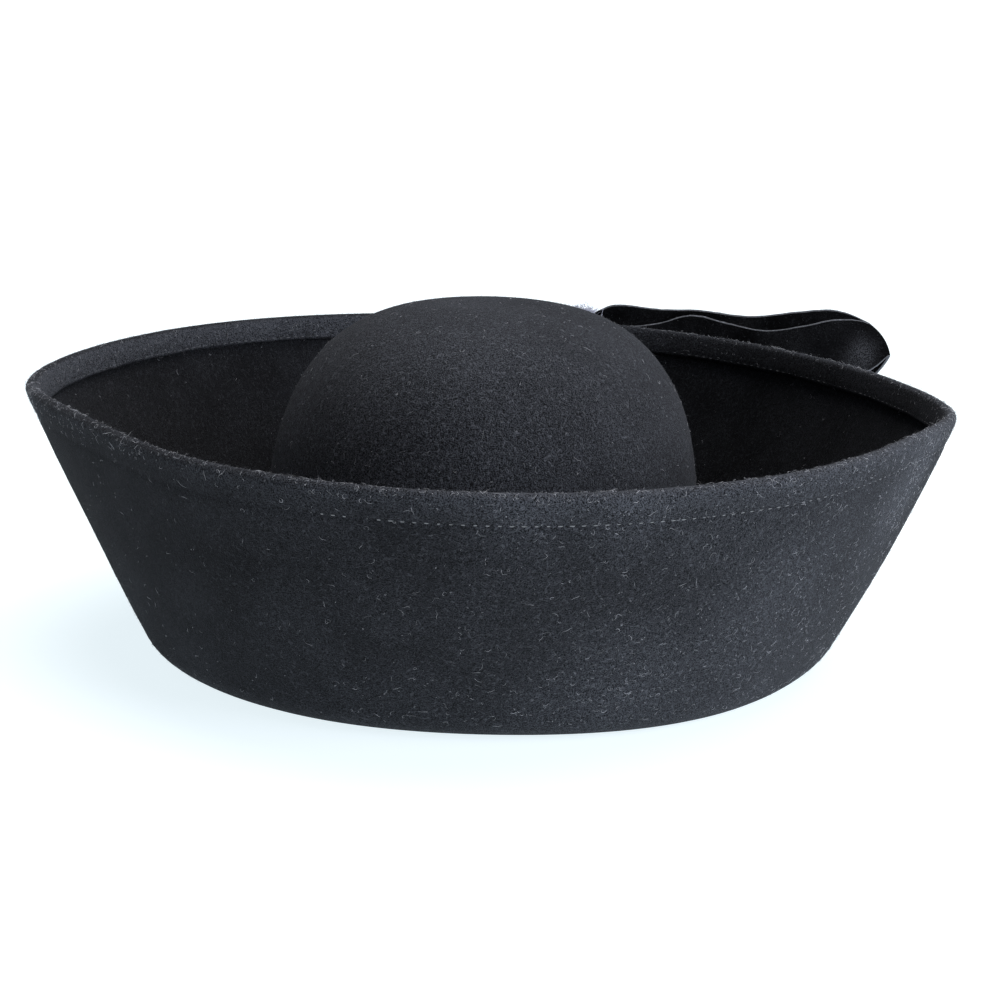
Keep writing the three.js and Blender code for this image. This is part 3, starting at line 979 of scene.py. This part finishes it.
def place_camera(stage):
    """The camera, at the angle of the photograph, with its small roll."""
    turn, lift, roll = stage.azimuth, stage.elevation, stage.roll
    back = Vector((math.sin(turn) * math.cos(lift), -math.cos(turn) * math.cos(lift), math.sin(lift)))
    right = Vector((math.cos(turn), math.sin(turn), 0))
    up = back.cross(right)
    across = right * math.cos(roll) + up * math.sin(roll)
    upward = up * math.cos(roll) - right * math.sin(roll)
    target = AXIS + LOOKED_AT
    data = bpy.data.cameras.new("camera")
    data.lens = stage.lens
    data.sensor_width = 36
    data.clip_start = 0.05
    camera = added("camera", data)
    camera.matrix_world = Matrix.Translation(target + back * stage.distance) @ Matrix(
        (across, upward, back)).transposed().to_4x4()
    bpy.context.scene.camera = camera


def add_light(name, kind, settings, position, target):
    """A light that shines from a position towards a target."""
    data = bpy.data.lights.new(name, kind)
    for key, value in settings.items():
        setattr(data, key, value)
    light = added(name, data)
    light.location = position
    light.rotation_euler = (Vector(target) - Vector(position)).to_track_quat("-Z", "Y").to_euler()


FLOOR_HALF = 15     # metres from the middle of the floor to its edge


def build_stage(stage):
    """Light table, a soft light overhead, a window to the right, and the camera."""
    bm = bmesh.new()
    bmesh.ops.create_grid(bm, x_segments=8, y_segments=8, size=FLOOR_HALF)
    mesh = bpy.data.meshes.new("paper_floor")
    bm.to_mesh(mesh)
    bm.free()
    mesh.materials.append(material_of("paper_sweep"))
    floor = added("paper_floor", mesh)
    add_light("overhead", "SUN", {"energy": 3.3, "angle": math.radians(60), "color": linear("fffdf9")},
              (0.35, 0.7, 2.6), (0, 0, 0))
    add_light("window", "AREA", {"energy": 36.0, "shape": "RECTANGLE", "size": 1.3, "size_y": 0.9,
                                 "color": linear("f3f9ff")}, (1.7, -0.45, 0.7), (0, 0, 0.05))
    world = bpy.data.worlds.new("studio")
    world.use_nodes = True
    tree = world.node_tree
    tree.nodes.clear()
    seen = add_node(tree, "ShaderNodeLightPath", output="Is Camera Ray")
    dim = add_node(tree, "ShaderNodeBackground", {"Color": (*linear("eaf3ff"), 1), "Strength": 0.17})
    white = add_node(tree, "ShaderNodeBackground", {"Color": (*linear("ffffff"), 1), "Strength": 1.2})
    both = add_node(tree, "ShaderNodeMixShader", {0: seen, 1: dim, 2: white})
    add_node(tree, "ShaderNodeOutputWorld", {"Surface": both})
    bpy.context.scene.world = world
    bpy.context.scene.view_settings.view_transform = "Standard"
    place_camera(stage)


class HAT_OT_stage(bpy.types.Operator):
    """Sets up the paper floor, the lights and the camera"""
    bl_idname = "hat.stage"
    bl_label = "Stage"

    def execute(self, context):
        build_stage(context.scene.hat_stage)
        return {"FINISHED"}


class HAT_OT_brim(bpy.types.Operator):
    """Forms the brim with its folded rim and hem, and its nap and lint"""
    bl_idname = "hat.brim"
    bl_label = "Brim"

    def execute(self, context):
        sizes = context.scene.hat_sizes
        brim = build_brim(sizes)
        lay_nap("brim_nap", brim, sizes.nap, 5, nap_weight)
        lay_lint("brim_lint", brim, sizes.lint, 7, lint_weight)
        return {"FINISHED"}


class HAT_OT_crown(bpy.types.Operator):
    """Forms the domed crown with its nap and lint"""
    bl_idname = "hat.crown"
    bl_label = "Crown"

    def execute(self, context):
        sizes = context.scene.hat_sizes
        crown = build_crown(sizes)
        lay_nap("crown_nap", crown, sizes.nap // 2, 6)
        lay_lint("crown_lint", crown, sizes.lint // 4, 8)
        return {"FINISHED"}


class HAT_OT_stitches(bpy.types.Operator):
    """Sews the row of stitches through the hem"""
    bl_idname = "hat.stitches"
    bl_label = "Stitches"

    def execute(self, context):
        build_stitches(context.scene.hat_sizes)
        return {"FINISHED"}


class HAT_OT_bow(bpy.types.Operator):
    """Folds the two loops of the bow, wraps its knot and adds the lint beside it"""
    bl_idname = "hat.bow"
    bl_label = "Bow"

    def execute(self, context):
        sizes = context.scene.hat_sizes
        build_knot(sizes)
        for name, side, droop, seed in (("bow_loop_left", 1, 0, 12), ("bow_loop_right", -1, RIGHT_DROOP, 13)):
            loop = build_loop(name, side, droop, sizes)
            lay_nap(name + "_nap", loop, sizes.nap // 20, seed)
        build_tuft()
        return {"FINISHED"}


class HAT_PT_panel(bpy.types.Panel):
    """Lists the pieces of the hat"""
    bl_label = "Breton Hat"
    bl_idname = "HAT_PT_panel"
    bl_space_type = "VIEW_3D"
    bl_region_type = "UI"
    bl_category = "Hat"

    def draw(self, context):
        for operator in STEPS:
            self.layout.operator(operator.bl_idname)
        for group in (context.scene.hat_sizes, context.scene.hat_colours, context.scene.hat_stage):
            for name in group.bl_rna.properties.keys():
                if name not in ("rna_type", "name"):
                    self.layout.prop(group, name)


GROUPS = {"hat_sizes": HatSizes, "hat_colours": HatColours, "hat_stage": HatStage}
STEPS = (HAT_OT_stage, HAT_OT_brim, HAT_OT_crown, HAT_OT_stitches, HAT_OT_bow)


def register():
    """Registers the settings, the operators and the panel."""
    for group in GROUPS.values():
        bpy.utils.register_class(group)
    for name, group in GROUPS.items():
        setattr(bpy.types.Scene, name, PointerProperty(type=group))
    for operator in (*STEPS, HAT_PT_panel):
        bpy.utils.register_class(operator)


def unregister():
    """Takes out all that register added."""
    for operator in (HAT_PT_panel, *STEPS):
        bpy.utils.unregister_class(operator)
    for name, group in GROUPS.items():
        delattr(bpy.types.Scene, name)
        bpy.utils.unregister_class(group)


def main():
    """Builds the hat on its stage."""
    register()
    hat = bpy.ops.hat
    for step in (hat.stage, hat.brim, hat.crown, hat.stitches, hat.bow):
        if step() != {"FINISHED"}:
            raise RuntimeError(f"{step.idname()} didn't finish")
    bpy.context.view_layer.update()


if __name__ == "__main__":
    main()
